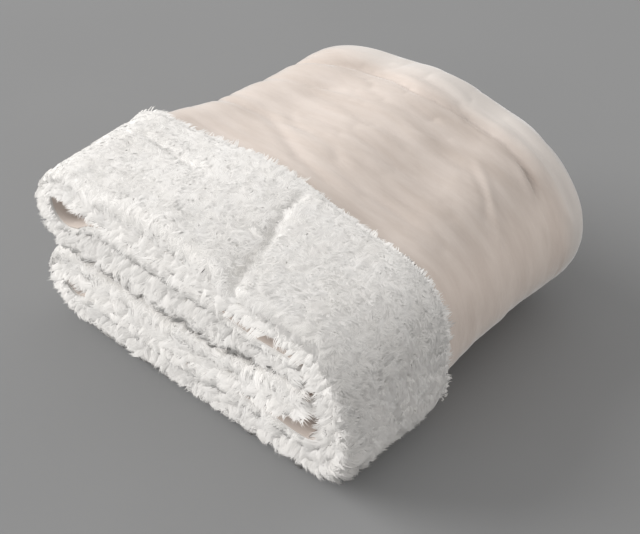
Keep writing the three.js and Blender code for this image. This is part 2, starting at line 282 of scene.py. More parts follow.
def cloth_line(along):
    """Place along Y, depth, and the direction of the sherpa side, on the cloth's middle line."""
    near_turn = (along - NEAR_FOLD_AT) / NEAR_RADIUS
    far_turn = math.pi * (along - FAR_FOLD_AT) / (RETURN_AT - FAR_FOLD_AT)
    on = [along < NEAR_FOLD_AT, along < BODY_AT, along < FAR_FOLD_AT, along < RETURN_AT]
    y = np.select(on, [
        CUFF_EDGE_Y - along,
        NEAR_FOLD_Y - NEAR_RADIUS * np.sin(near_turn),
        NEAR_FOLD_Y + along - BODY_AT,
        FAR_FOLD_Y + FAR_FOLD_RADIUS * np.sin(far_turn),
    ], FAR_FOLD_Y - along + RETURN_AT)
    depth = np.select(on, [
        CUFF_DEPTH,
        (CUFF_DEPTH + BODY_DEPTH) / 2 - NEAR_RADIUS * np.cos(near_turn),
        BODY_DEPTH,
        (BODY_DEPTH + RETURN_DEPTH) / 2 - FAR_RADIUS_DEPTH * np.cos(far_turn),
    ], RETURN_DEPTH)
    side_y = np.select(on, [0, -np.sin(near_turn), 0, -np.sin(far_turn)], 0)
    side_depth = np.select(on, [-1, -np.cos(near_turn), 1, np.cos(far_turn)], -1)
    return y, depth, side_y, side_depth


# Where the inner layer's hem parts from the body into an open gap: the distance on the route, how
# far the hem is moved in the strip's depth, and the share of its pile that is pressed away
HEM_PARTINGS = (
    dict(middle=657, half_width=11, moved=-4.5, bare=0.9),
    dict(middle=34, half_width=17, moved=-3.0, bare=0.15),
    dict(middle=1574, half_width=22, moved=-2.0, bare=0.7),
    dict(middle=908, half_width=32, moved=-2.2, bare=0.6),
)
PARTING_SQUARENESS = 4
PARTING_LENGTH = 45


def parted(distance, what):
    """How far the inner hem is moved, or how bare it is, at each distance."""
    return sum(one[what] * np.exp(-((distance - one["middle"]) / one["half_width"])
                                  ** PARTING_SQUARENESS)
               for one in HEM_PARTINGS)


# Distances on the route, measured on the cuff's outer face

ROUTE_SAMPLES = 14001
MEASURED_AT_Y = -100.0


def route_lengths():
    route = np.linspace(0, ROUTE_END, ROUTE_SAMPLES)
    line = placed(route, MEASURED_AT_Y, 0.0)
    steps = np.linalg.norm(np.diff(line, axis=0), axis=1)
    return route, np.concatenate([[0], np.cumsum(steps)])


ROUTE_PLACES, ROUTE_DISTANCES = route_lengths()
ROUTE_LENGTH = ROUTE_DISTANCES[-1]


def route_at(distance):
    return np.interp(distance, ROUTE_DISTANCES, ROUTE_PLACES)


def distance_at(route):
    return np.interp(route, ROUTE_PLACES, ROUTE_DISTANCES)


def on_cloth(route, along, offset):
    """Points of the folded cloth, offset to the sherpa side of its middle line."""
    y, depth, side_y, side_depth = cloth_line(along)
    y = y + side_y * offset
    depth = depth + side_depth * offset
    y = y + np.where(along < BODY_AT, cuff_bow(route, y), 0)
    at_hem = smooth(CLOTH_LENGTH - PARTING_LENGTH, CLOTH_LENGTH, along)
    return placed(route, y, depth + at_hem * parted(distance_at(route), "moved"))


def stepped(start, end, step):
    """Evenly spaced places from start up to, but not at, end."""
    count = max(1, round((end - start) / step))
    return start + (end - start) * np.arange(count) / count


# Whole numbers that scramble a corner of a lattice into a random value
AXIS_PRIMES = (73856093, 19349663, 83492791)
SEED_FACTOR, SEED_START = 7919, 17
SCRAMBLES = ((13, 1274126177), (16, 668265263))
KEY_BITS = 0xFFFFFFFF
VALUE_SHIFT, VALUE_BITS = 8, 0xFFFF


def lattice_noise(points, size, seed):
    """Smooth noise from -1 to 1, with features about as large as size."""
    cell = np.asarray(points, float) / size
    corner = np.floor(cell).astype(np.int64)
    t = cell - corner
    t = t * t * (3 - 2 * t)
    total = np.zeros(cell.shape[:-1])
    for n in range(2 ** cell.shape[-1]):
        key = np.full(total.shape, seed * SEED_FACTOR + SEED_START, np.int64)
        weight = np.ones_like(total)
        for axis in range(cell.shape[-1]):
            bit = n >> axis & 1
            key ^= (corner[..., axis] + bit) * AXIS_PRIMES[axis]
            weight *= t[..., axis] if bit else 1 - t[..., axis]
        for shift, factor in SCRAMBLES:
            key = (key ^ (key >> shift)) * factor & KEY_BITS
        total += weight * ((key >> VALUE_SHIFT & VALUE_BITS) / (VALUE_BITS // 2) - 1)
    return total


# Blender pieces

MM = 0.001


def add_object(name, data):
    made = bpy.data.objects.new(name, data)
    bpy.context.scene.collection.objects.link(made)
    return made


def new_object(name, points, faces, material, normals=None):
    """A piece from points in millimetres, and an array of faces for each number of corners."""
    mesh = bpy.data.meshes.new(name)
    counts = np.concatenate([np.full(len(f), f.shape[1]) for f in faces])
    corners = np.concatenate([f.reshape(-1) for f in faces])
    mesh.vertices.add(len(points))
    mesh.vertices.foreach_set("co", (points * MM).astype(np.float32).reshape(-1))
    mesh.loops.add(len(corners))
    mesh.loops.foreach_set("vertex_index", corners.astype(np.int32))
    mesh.polygons.add(len(counts))
    starts = np.concatenate([[0], np.cumsum(counts)[:-1]])
    mesh.polygons.foreach_set("loop_start", starts.astype(np.int32))
    mesh.polygons.foreach_set("loop_total", counts.astype(np.int32))
    mesh.update(calc_edges=True)
    mesh.validate()
    mesh.polygons.foreach_set("use_smooth", np.full(len(counts), True))
    mesh.materials.append(material)
    if normals is not None:
        mesh.normals_split_custom_set_from_vertices(normals.tolist())
    piece = add_object(name, mesh)
    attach(piece, "root")
    return piece


# Camera, as in the photograph

TARGET = Vector((0.0, -0.009, 0.060))
AZIMUTH = math.radians(42.81)
ELEVATION = math.radians(42.0)
DISTANCE = 1.90
SENSOR_WIDTH = 36.0
FOCAL_PIXELS = 2145.0
FRAME_WIDTH_PIXELS = 640
AIM_RIGHT = 0.00155
AIM_UP = -0.00786
CLIP_END = 20


def add_camera():
    away = Vector((math.sin(AZIMUTH) * math.cos(ELEVATION),
                   -math.cos(AZIMUTH) * math.cos(ELEVATION), math.sin(ELEVATION)))
    right = Vector((math.cos(AZIMUTH), math.sin(AZIMUTH), 0.0))
    up = away.cross(right)
    data = bpy.data.cameras.new("camera")
    data.sensor_width = SENSOR_WIDTH
    data.lens = FOCAL_PIXELS * SENSOR_WIDTH / FRAME_WIDTH_PIXELS
    data.clip_end = CLIP_END
    camera = add_object("camera", data)
    camera.location = TARGET + right * AIM_RIGHT + up * AIM_UP + away * DISTANCE
    camera.rotation_euler = away.to_track_quat("Z", "Y").to_euler()
    bpy.context.scene.camera = camera


add_camera()


# Materials

# The sockets of a mix node that blends colours
MIX_FACTOR, MIX_A, MIX_B, MIX_RESULT = 0, 6, 7, 2


class Nodes:
    """A material's node tree. Inputs hold sockets to join and values to set, by their names."""

    def __init__(self, name):
        self.material = bpy.data.materials.new(name)
        self.material.use_nodes = True
        self.tree = self.material.node_tree
        self.place = self.add("ShaderNodeTexCoord", {}).outputs["Object"]

    def fill(self, node, inputs):
        for name, value in inputs.items():
            if isinstance(value, bpy.types.NodeSocket):
                self.tree.links.new(value, node.inputs[name])
            else:
                node.inputs[name].default_value = value

    def add(self, kind, inputs, **settings):
        node = self.tree.nodes.new(kind)
        for name, value in settings.items():
            setattr(node, name, value)
        self.fill(node, inputs)
        return node

    def noise(self, scale, detail, roughness=0.5, stretch=None):
        place = self.place
        if stretch:
            mapping = self.add("ShaderNodeMapping", {"Vector": place, "Scale": stretch})
            place = mapping.outputs["Vector"]
        return self.add("ShaderNodeTexNoise", {
            "Vector": place, "Scale": scale, "Detail": detail, "Roughness": roughness,
        }).outputs["Fac"]

    def ramp(self, value, span, colours):
        """From one colour to the other, while the value goes through the span."""
        node = self.add("ShaderNodeValToRGB", {"Fac": value})
        for element, position, colour in zip(node.color_ramp.elements, span, colours):
            element.position = position
            element.color = colour
        return node.outputs["Color"]

    def between(self, axis, low, high):
        """Zero below a place on one of the object's axes, rising to one above another."""
        parts = self.add("ShaderNodeSeparateXYZ", {"Vector": self.place})
        return self.add("ShaderNodeMapRange", {
            "Value": parts.outputs[axis], "From Min": low, "From Max": high,
        }, interpolation_type="SMOOTHSTEP").outputs["Result"]

    def blend(self, factor, a, b):
        """From colour a to colour b."""
        return self.add("ShaderNodeMix", {MIX_FACTOR: factor, MIX_A: a, MIX_B: b},
                        data_type="RGBA").outputs[MIX_RESULT]

    def bump(self, height, strength, distance, **more):
        return self.add("ShaderNodeBump", {
            "Height": height, "Strength": strength, "Distance": distance, **more,
        }).outputs["Normal"]

    def shade(self, **inputs):
        """The material, with the inputs of its shader."""
        self.fill(self.tree.nodes["Principled BSDF"],
                  {name.replace("_", " "): value for name, value in inputs.items()})
        return self.material


def srgb(*levels):
    """A colour as a screen shows it, from 0 to 255, as the light that a material takes."""
    shares = [level / 255 for level in levels]
    return (*(c / 12.92 if c <= 0.04045 else ((c + 0.055) / 1.055) ** 2.4 for c in shares), 1)


SHERPA_COLOURS = (srgb(251, 247, 242), srgb(254, 251, 247))
# The under-pile seen between the wisps is painted darker than the wisps, as painted shade in the
# gaps between the tufts.
SHADED_UNDER_PILE_COLOURS = (srgb(222, 219, 214), srgb(231, 228, 224))
TONE_SPAN = (0.3, 0.7)


def sherpa_material(name, colours):
    nodes = Nodes(name)
    tone = nodes.noise(scale=45.0, detail=4.0, roughness=0.6)
    return nodes.shade(
        Base_Color=nodes.ramp(tone, TONE_SPAN, colours),
        Roughness=1.0,
        Specular_IOR_Level=0.0,
        Sheen_Weight=0.1,
        Sheen_Roughness=0.6,
    )


SHERPA = sherpa_material("sherpa_pile", SHERPA_COLOURS)
SHERPA_BASE = sherpa_material("sherpa_base_painted_shade", SHADED_UNDER_PILE_COLOURS)


# The plush is painted darker on the right half of the top, as painted shade, and paler on the side
# of the wrap and past the far crease, as painted sheen.
NAP_COLOURS = (srgb(212, 199, 189), srgb(223, 211, 202))
PAINTED_SHADE_NAP_COLOURS = (srgb(199, 186, 176), srgb(210, 198, 189))
PAINTED_SHEEN_SIDE_COLOURS = (srgb(221, 206, 195), srgb(232, 218, 207))
PAINTED_SHEEN_FAR_COLOUR = srgb(222, 214, 207)
NAP_TONE_SPAN = (0.35, 0.65)
PAINTED_SHADE_FROM_X = (-0.03, 0.085)
PAINTED_SHEEN_FROM_X = (0.125, 0.165)
PAINTED_SHEEN_FROM_Y = (0.118, 0.142)


def plush_material():
    nodes = Nodes("plush")
    nap = nodes.noise(scale=40.0, detail=4.0, roughness=0.6, stretch=(0.35, 1.6, 0.35))
    fine = nodes.noise(scale=900.0, detail=4.0, roughness=0.7)
    streak = nodes.noise(scale=150.0, detail=3.0, roughness=0.6, stretch=(0.35, 1.5, 0.35))
    tone, painted_shade_tone, painted_sheen_tone = (nodes.ramp(nap, NAP_TONE_SPAN, colours)
                           for colours in (NAP_COLOURS, PAINTED_SHADE_NAP_COLOURS, PAINTED_SHEEN_SIDE_COLOURS))
    # Painted shade on the right half of the top, by place along X
    tone = nodes.blend(nodes.between("X", *PAINTED_SHADE_FROM_X), tone, painted_shade_tone)
    # Painted sheen on the side of the wrap, by place along X
    tone = nodes.blend(nodes.between("X", *PAINTED_SHEEN_FROM_X), tone, painted_sheen_tone)
    streaks = nodes.bump(streak, strength=0.3, distance=0.001)
    # Painted sheen past the far crease, by place along Y
    return nodes.shade(
        Base_Color=nodes.blend(nodes.between("Y", *PAINTED_SHEEN_FROM_Y), tone, PAINTED_SHEEN_FAR_COLOUR),
        Roughness=0.9,
        Specular_IOR_Level=0.2,
        Sheen_Weight=1.0,
        Sheen_Roughness=0.3,
        Normal=nodes.bump(fine, strength=0.35, distance=0.0004, Normal=streaks),
    )


PLUSH = plush_material()


# The two plies as fine closed sheets

PLUSH_STEP = 2.9
SHERPA_STEP = 2.2
HIDDEN_STEP = 8
HIDDEN_LEGS = (RUN_2, RUN_3, RUN_4)


def route_stations(step):
    """Places on the route: step apart where the cloth shows, further apart in hidden runs."""
    places = [stepped(distance_at(leg), distance_at(leg + 1),
                      HIDDEN_STEP if leg in HIDDEN_LEGS else step)
              for leg in range(ROUTE_END)]
    return route_at(np.concatenate([*places, [ROUTE_LENGTH]]))


def closed_sheet(name, outer_along, outer_offset, inner_along, inner_offset, material,
                 step, relief):
    """A ply: at each station on the route, a ring of places round its outer and inner side.

    Where the body shows, the hidden inner side leaves room for the wrinkles.
    """
    route = route_stations(step)
    along = np.concatenate([outer_along, inner_along[::-1]])
    outer = np.arange(len(along)) < len(outer_along)
    grid_route, grid_along = np.meshgrid(route, along, indexing="ij")
    raised = relief(distance_at(grid_route), grid_along)
    room = WRINKLE_ROOM * within(BODY_IN_THE_OPEN, grid_along)
    offset = np.where(outer, outer_offset + raised, inner_offset + room)
    points = on_cloth(grid_route, grid_along, offset)

    ring = len(along)
    around = np.arange(ring)
    rings = ring * np.arange(len(route))[:, None]
    a = (rings[:-1] + around).reshape(-1)
    b = (rings[:-1] + (around + 1) % ring).reshape(-1)
    sides = np.stack([a, b, b + ring, a + ring], -1)
    ends = [around[None, ::-1], rings[-1:] + around]
    return new_object(name, points.reshape(-1, 3), [sides, *ends], material)


# Along the cloth: its steps, and where the plush body is in the open, past the cuff's edge
COARSE_STEP = 24
FOLD_STEP = 3
HIDDEN_FOLD_STEP = 4
INNER_FOLD_STEP = 5
CUFF_EDGE_AT = BODY_AT + CUFF_EDGE_Y - NEAR_FOLD_Y
BODY_IN_THE_OPEN = ((CUFF_EDGE_AT, CUFF_EDGE_AT + 18), (RETURN_AT - 5, FAR_FOLD_AT + 5))
BODY_SHOWS_AT = CUFF_EDGE_AT - 12
COARSE_BODY = ((BODY_AT, FAR_FOLD_AT, COARSE_STEP),)
FINE_BODY = ((BODY_AT, BODY_SHOWS_AT, COARSE_STEP), (BODY_SHOWS_AT, FAR_FOLD_AT, PLUSH_STEP))
WRINKLE_ROOM = 3.0


def ply_stations(hem, cuff_step, near_step, body, far_step):
    """Places along one side of a ply, from hem to hem; each part has its own step."""
    last = CLOTH_LENGTH - hem
    spans = ((hem, NEAR_FOLD_AT, cuff_step), (NEAR_FOLD_AT, BODY_AT, near_step), *body,
             (FAR_FOLD_AT, RETURN_AT, far_step), (RETURN_AT, last, COARSE_STEP))
    return np.concatenate([*(stepped(*span) for span in spans), [last]])


plush_outer = ply_stations(HEM_TURN, COARSE_STEP, FOLD_STEP, FINE_BODY, FOLD_STEP)
plush_inner = ply_stations(HEM_TURN, COARSE_STEP, HIDDEN_FOLD_STEP, COARSE_BODY, INNER_FOLD_STEP)
sherpa_outer = ply_stations(0, SHERPA_STEP, SHERPA_STEP, COARSE_BODY, HIDDEN_FOLD_STEP)
sherpa_inner = ply_stations(0, COARSE_STEP, HIDDEN_FOLD_STEP, COARSE_BODY, INNER_FOLD_STEP)


# Tufts of the sherpa, as domes of its dense under-pile

SHERPA_BASE_OFFSET = 2.6
SHERPA_INNER_OFFSET = -HALF + PLUSH_THICKNESS + PLY_GAP
TUFT_SEED = 3
TUFT_SPACING = 8.5
TUFT_SPREAD = 1.1
TUFT_RADIUS = 6.4
TUFT_RISE = 1.1
LOWEST_TUFT = 0.5
TUFT_VARIETY = 0.7
GOLDEN_SHARE = 0.61803
TUFT_WARP = 3.2
TUFT_WARP_SIZE = 13
TUFT_WARP_SEEDS = (31, 32)


def jittered(width, length, spacing, rng, spread=0.9):
    """A grid of points, each moved at random within its cell: (columns, rows, 2)."""
    columns, rows = math.ceil(width / spacing), math.ceil(length / spacing)
    grid = np.stack(np.meshgrid(np.arange(columns), np.arange(rows), indexing="ij"), -1) + 0.5
    return (grid + spread * (rng.random(grid.shape) - 0.5)) * spacing


TUFTS = jittered(ROUTE_LENGTH, BODY_AT, TUFT_SPACING, np.random.default_rng(TUFT_SEED),
                 TUFT_SPREAD)


def nearest_tuft(places, tufts=TUFTS, spacing=TUFT_SPACING):
    """For each place, its way from the nearest tuft's middle, and that tuft's number.

    The places are warped first, so that no two tufts have the same outline.
    """
    warp = np.stack([lattice_noise(places, TUFT_WARP_SIZE, seed) for seed in TUFT_WARP_SEEDS], -1)
    warped = places + TUFT_WARP * warp
    cell = np.floor(warped / spacing).astype(int)
    best = np.full(len(places), np.inf)
    away = np.zeros_like(places)
    number = np.zeros(len(places), int)
    columns, rows = tufts.shape[:2]
    for step_x in (-1, 0, 1):
        for step_y in (-1, 0, 1):
            x = np.clip(cell[:, 0] + step_x, 0, columns - 1)
            y = np.clip(cell[:, 1] + step_y, 0, rows - 1)
            off = warped - tufts[x, y]
            distance = np.linalg.norm(off, axis=1)
            closer = distance < best
            best[closer] = distance[closer]
            away[closer] = off[closer]
            number[closer] = (x * rows + y)[closer]
    return away, number


# Creases in the cloth, in millimetres; a ridge has a depth below zero. The line is of places along
# the crease and across it.
Crease = namedtuple("Crease", "depth half_width fade line")

# On the cuff: the groove in its trough, by the length from the cuff's hem, and the crease along
# that hem, by distance on the route
TROUGH_GROOVE = Crease(4.2, 4.5, 16, (
    (12, 573), (45, 580), (64, 588), (86, 593), (114, 602), (136, 614)))
HEM_CREASE = Crease(3.2, 3.6, 14, ((388, 42), (412, 34), (450, 39), (488, 46)))

# On the plush body: by distance on the route, and across it the length from the cuff's hem
PLUSH_CREASES = (
    Crease(3.0, 3.6, 16, ((345, 424), (388, 429), (412, 438), (456, 438), (527, 432), (571, 435),
                          (623, 440), (668, 441), (710, 435), (740, 421))),
    Crease(-1.1, 6.5, 16, ((345, 437), (388, 441), (412, 450), (456, 450), (527, 444), (571, 447),
                           (623, 452), (668, 453), (710, 447), (740, 433))),
    Crease(-1.4, 4, 10, ((704, 430), (717, 423), (732, 421), (760, 416))),
    Crease(2.7, 5, 22, ((345, 326), (380, 324), (400, 326), (424, 329), (450, 322), (500, 304),
                        (543, 294), (580, 290))),
    Crease(1.8, 5, 14, ((435, 345), (462, 333), (495, 327), (529, 325), (560, 318))),
    Crease(1.0, 4, 18, ((500, 370), (545, 373), (585, 376))),
    Crease(-1.0, 4, 12, ((410, 368), (440, 366), (469, 369), (510, 365))),
    Crease(-1.7, 4.5, 20, ((575, 386), (610, 393), (644, 399), (676, 399), (694, 392), (712, 377),
                           (728, 366), (746, 352))),
    Crease(1.3, 4.5, 18, ((610, 384), (644, 390), (676, 390), (700, 380), (722, 356))),
    Crease(1.2, 4, 12, ((690, 315), (724, 318), (745, 312))),
    Crease(-1.2, 6, 16, ((705, 452), (738, 447), (771, 456))),
    Crease(2.6, 4.5, 16, ((345, 382), (368, 384), (400, 388), (440, 396))),
)
# Small folds all over the plush, soft ones and thin sharp ones: (length, width, depth, seed)
FINE_FOLDS = ((110, 18, 1.3, 41), (80, 8.5, 0.8, 42), (45, 6, 0.3, 43))
SHARP_FOLDS = ((130, 16, 1.1, 44), (80, 9, 0.8, 45))
SHARPNESS = 8
# On the side of the wrap the cloth is drawn smoother, by this share
WRAP_SMOOTHED = 0.65
WRAP_SIDE = (WRAP + 0.15, WRAP + 0.5)
# The parts of the route where the plush has its wrinkles
TOP_AND_WRAP = ((TOP_ROLL, TOP_ROLL + 0.4), (RUN_4 - 0.05, RUN_4 - 0.4))
LOW_ROLL_OUTSIDE = ((LOW_ROLL + 0.1, LOW_ROLL + 0.4), (RUN_3 + 0.1, RUN_3 - 0.2))

# The cuff's pile lies in soft waves, and fades out where its near fold meets the body
WAVE_HEIGHT = 0.9
WAVE_SIZE = 34
WAVE_SEED = 2
WAVES_SUNK = 0.8
ON_CUFF = (BODY_AT + 2, BODY_AT - 8)


def sunk_in(crease, place, across):
    """How far a crease sinks in; it fades out past both ends of its line."""
    places, middles = np.array(crease.line, float).T
    first, last = places[0], places[-1]
    off = (across - smooth_table(places, middles, place)) / crease.half_width
    shown = (smooth(first - crease.fade, first + crease.fade, place)
             * (1 - smooth(last - crease.fade, last + crease.fade, place)))
    return crease.depth * shown * np.exp(-off * off)


def cloth_places(distance, along):
    return np.stack(np.broadcast_arrays(distance, along), -1)


def sherpa_form(distance, along):
    """The broad form of the cuff's pile: its waves and creases."""
    waves = WAVE_HEIGHT * lattice_noise(cloth_places(distance, along), WAVE_SIZE, WAVE_SEED)
    sunk = sunk_in(TROUGH_GROOVE, along, distance) + sunk_in(HEM_CREASE, distance, along)
    return (waves - WAVES_SUNK - sunk) * smooth(*ON_CUFF, along)


def sherpa_relief(distance, along):
    """How far the cuff's dense under-pile stands out: its form, and the dome of each tuft."""
    places = cloth_places(distance, along)
    away, number = nearest_tuft(places.reshape(-1, 2))
    shape = places.shape[:-1]
    off = np.linalg.norm(away, axis=1).reshape(shape) / TUFT_RADIUS
    own = (number * GOLDEN_SHARE).reshape(shape) % 1
    domes = TUFT_RISE * (LOWEST_TUFT + TUFT_VARIETY * own) * np.maximum(0, 1 - off * off)
    return sherpa_form(distance, along) + domes * smooth(*ON_CUFF, along)


def plush_relief(distance, along):
    """How far the plush sinks in at its wrinkles, where the body shows."""
    places = cloth_places(distance, along)
    route = route_at(distance)
    fine = 1 - WRAP_SMOOTHED * smooth(*WRAP_SIDE, route)
    sunk = sum(sunk_in(crease, distance, along) for crease in PLUSH_CREASES)
    for length, width, depth, seed in FINE_FOLDS:
        sunk = sunk + depth * fine * lattice_noise(places / (length, width), 1, seed)
    for length, width, depth, seed in SHARP_FOLDS:
        near_line = 1 - np.abs(lattice_noise(places / (length, width), 1, seed))
        sunk = sunk + depth * fine * near_line ** SHARPNESS
    wrinkled = within(TOP_AND_WRAP, route) + within(LOW_ROLL_OUTSIDE, route)
    return sunk * within(BODY_IN_THE_OPEN, along) * wrinkled


sherpa = closed_sheet("sherpa_panel", sherpa_outer, SHERPA_BASE_OFFSET,
                      sherpa_inner, SHERPA_INNER_OFFSET, SHERPA_BASE, SHERPA_STEP, sherpa_relief)
plush = closed_sheet("plush_panel", plush_outer, -HALF, plush_inner,
                     -HALF + PLUSH_THICKNESS, PLUSH, PLUSH_STEP, plush_relief)


# The pile: curled wisps of fibres, gathered in tufts that lean this way and that

PILE_SEED = 7
WISPS_IN_A_PIECE = 19000

# One wisp: a tapering tube with two rings of points, and its tip
WISP_SIDES = 3
WISP_RADIUS = (0.38, 0.72)
WISP_TAPER = 0.7
WISP_SAG = 0.9
WISP_LEVELS = np.array([0.0, 0.55, 1.0])
OVER_FLOOR = 0.15

# How far a wisp has come at each of its levels, as shares of its lean, height or length
LEAN_CURVE = WISP_LEVELS ** 1.6
SIDE_LEAN_CURVE = WISP_LEVELS ** 1.5
HEIGHT_CURVE = 1.25 * WISP_LEVELS - 0.25 * WISP_LEVELS ** 3
CUFF_HEM_CURVE = WISP_LEVELS - 0.2 * WISP_LEVELS ** 3
CUFF_HEM_ARCH = 0.5 * WISP_LEVELS - 0.45 * WISP_LEVELS ** 2
INNER_HEM_CURVE = WISP_LEVELS - 0.18 * WISP_LEVELS ** 3

# The pile is pressed in runs 2 and 3, with no wisps, and below, with few; by the near end all grow
ALL_GROW_FROM = NEAR_FOLD_AT - 12
PRESSED_TO = TOP_ROLL - 0.02
PRESSED_FROM = RUN_3 + 0.02
UNDERSIDE = (RUN_4 + 0.04, LOW_ROLL - 0.04)
UNDERSIDE_DENSITY = 0.12

# Tufts on the face: the way that they lean, in radians, and what differs from tuft to tuft
TURN = 2.4
TURN_SIZE = 34
TURN_SEED = 11
TURN_SPREAD = 0.9
TUFT_LEAN = (3.0, 7.0)
TUFT_TWIST = (-1.8, 1.8)
TUFT_HEIGHT = (2.4, 4.4)
TUFT_GATHERED = (0.1, 0.5)

# Wisps on the face, and how each differs from its tuft
WISP_SPACING = 1.66
FACE_MARGIN = 5
ROOT_DEPTH = 0.3
TWIST_SPREAD = 0.4
LEAN_SPREAD = 1.1
GATHERED_SHARE = (0.7, 1.2)
HEIGHT_SHARE = (0.7, 1.25)

# Round the near folds tufts lean further, are longer and closer gathered, and are longest in runs
# 2 and 3. Low on the wrap, by the cuff's hem, they are short.
AT_NEAR_END = (NEAR_FOLD_AT - 7, NEAR_FOLD_AT + 3)
END_GATHERED = 0.3
END_LEAN = 0.3
END_HEIGHT = 0.25
IN_RUN_2 = (TOP_ROLL + 0.1, TOP_ROLL - 0.1)
IN_RUN_3 = (RUN_3 - 0.1, RUN_3 + 0.1)
INNER_RUN_HEIGHT = 0.2
LOW_ON_WRAP = ((WRAP + 0.5, WRAP + 0.7), (RUN_4 + 0.2, RUN_4 + 0.1))
BY_CUFF_HEM = (30, 12)
LOW_ON_WRAP_LOSS = 0.5

# How much of its tuft's slope, and of the slope of the cuff's form, shows in the light on a wisp
FACE_TUFT_SLOPE = 0.2
END_TUFT_SLOPE = 0.45
WRAP_TUFT_SLOPE = 0.6
FORM_SLOPE = 0.7
SLOPE_STEP = 1.2
END_SLOPE_SPAN = (NEAR_FOLD_AT - 8, NEAR_FOLD_AT + 8)
BY_WRAP = ((RUN_1 + 0.45, RUN_1 + 0.8), (WRAP + 0.9, WRAP + 0.6))
OVER_WRAP = ((RUN_1 + 0.7, WRAP + 0.1), (WRAP + 0.6, WRAP + 0.35))
WRAP_LEAN = 0.4


def pile_density(distance, along):
    """Share of the wisps that grow at each place."""
    route = route_at(distance)
    pressed = (route < PRESSED_TO) | (route > PRESSED_FROM)
    under = (route > UNDERSIDE[0]) & (route < UNDERSIDE[1])
    return np.select([along > ALL_GROW_FROM, pressed, under], [1, 0, UNDERSIDE_DENSITY], 1)


def tuft_style(places, rng):
    """Lean, twist, height and gathering of each tuft."""
    count = len(places)
    turned = TURN * lattice_noise(places, TURN_SIZE, TURN_SEED) + rng.normal(0, TURN_SPREAD, count)
    lean = rng.uniform(*TUFT_LEAN, count)
    spans = TUFT_TWIST, TUFT_HEIGHT, TUFT_GATHERED
    return (np.stack([np.cos(turned) * lean, np.sin(turned) * lean], -1),
            *(rng.uniform(*span, count) for span in spans))


# Each wisp function below gives paths of (distance, along, offset) and, for each path, how its
# tuft's side is tilted along the route and across it

def face_wisps(rng):
    """Wisps all over the cuff and round the near folds."""
    roots = jittered(ROUTE_LENGTH, BODY_AT - FACE_MARGIN, WISP_SPACING, rng).reshape(-1, 2)
    roots = roots[rng.random(len(roots)) < pile_density(*roots.T)]
    from_middle, number = nearest_tuft(roots)
    style = tuft_style(TUFTS.reshape(-1, 2), rng)
    lean, twist, height, gathered = (part[number] for part in style)

    distance, along = roots.T
    route = route_at(distance)
    at_end = smooth(*AT_NEAR_END, along)
    own = len(roots)
    twist = twist + rng.normal(0, TWIST_SPREAD, own)
    gathered = (gathered + END_GATHERED * at_end) * rng.uniform(*GATHERED_SHARE, own)
    lean = lean * (1 + END_LEAN * at_end[:, None]) + rng.normal(0, LEAN_SPREAD, (own, 2))
    height = height * rng.uniform(*HEIGHT_SHARE, own) * (1 + END_HEIGHT * at_end)
    low_on_wrap = within(LOW_ON_WRAP, route) * smooth(*BY_CUFF_HEM, along)
    in_inner_runs = at_end * (smooth(*IN_RUN_2, route) + smooth(*IN_RUN_3, route))
    height = height * (1 - LOW_ON_WRAP_LOSS * low_on_wrap + INNER_RUN_HEIGHT * in_inner_runs)

    turned = twist[:, None] * WISP_LEVELS
    kept = 1 - gathered[:, None] * WISP_LEVELS
    cos, sin = np.cos(turned), np.sin(turned)
    off_x = (from_middle[:, :1] * cos - from_middle[:, 1:] * sin) * kept
    off_y = (from_middle[:, :1] * sin + from_middle[:, 1:] * cos) * kept
    middle = roots - from_middle
    base = SHERPA_BASE_OFFSET - ROOT_DEPTH + sherpa_relief(distance, along)
    paths = np.stack([
        middle[:, :1] + off_x + lean[:, :1] * LEAN_CURVE,
        middle[:, 1:] + off_y + lean[:, 1:] * LEAN_CURVE,
        base[:, None] + height[:, None] * HEIGHT_CURVE,
    ], -1)
    return paths, face_tilt(roots)


def face_tilt(roots):
    """How the pile is tilted at each root: by its tuft's dome, and by the cuff's form."""
    route = route_at(roots[:, :1])
    shown = mix(FACE_TUFT_SLOPE, END_TUFT_SLOPE, smooth(*END_SLOPE_SPAN, roots[:, 1:]))
    shown = np.maximum(shown, WRAP_TUFT_SLOPE * within(BY_WRAP, route))
    tilt = -(shown * slope(sherpa_relief, roots)
             + (FORM_SLOPE - shown) * slope(sherpa_form, roots))
    tilt[:, :1] += WRAP_LEAN * within(OVER_WRAP, route)
    return tilt


def slope(relief, places):
    """How steeply a relief rises, along the route and across it."""
    rise = [relief(*(places + step).T) - relief(*(places - step).T)
            for step in np.eye(2) * SLOPE_STEP]
    return np.stack(rise, -1) / (2 * SLOPE_STEP)


# Tufts on the edge face of a hem; a wisp is shorter at its tuft's rim than in its middle
HEM_WISP_STEP = 1.75
HEM_TUFT_SPACING = 8.0
HEM_TUFT_SPREAD = 1.0
HEM_TUFT_SLOPE = 0.055
HEM_LEAN_SPREAD = 0.9
HEM_GATHERED = (0.3, 0.8)
HEM_LENGTH = (6.0, 10.5)
HEM_LENGTH_SHARE = (0.8, 1.15)
HEM_MIDDLE_LENGTH = 1.1
HEM_RIM_LOSS = 0.5


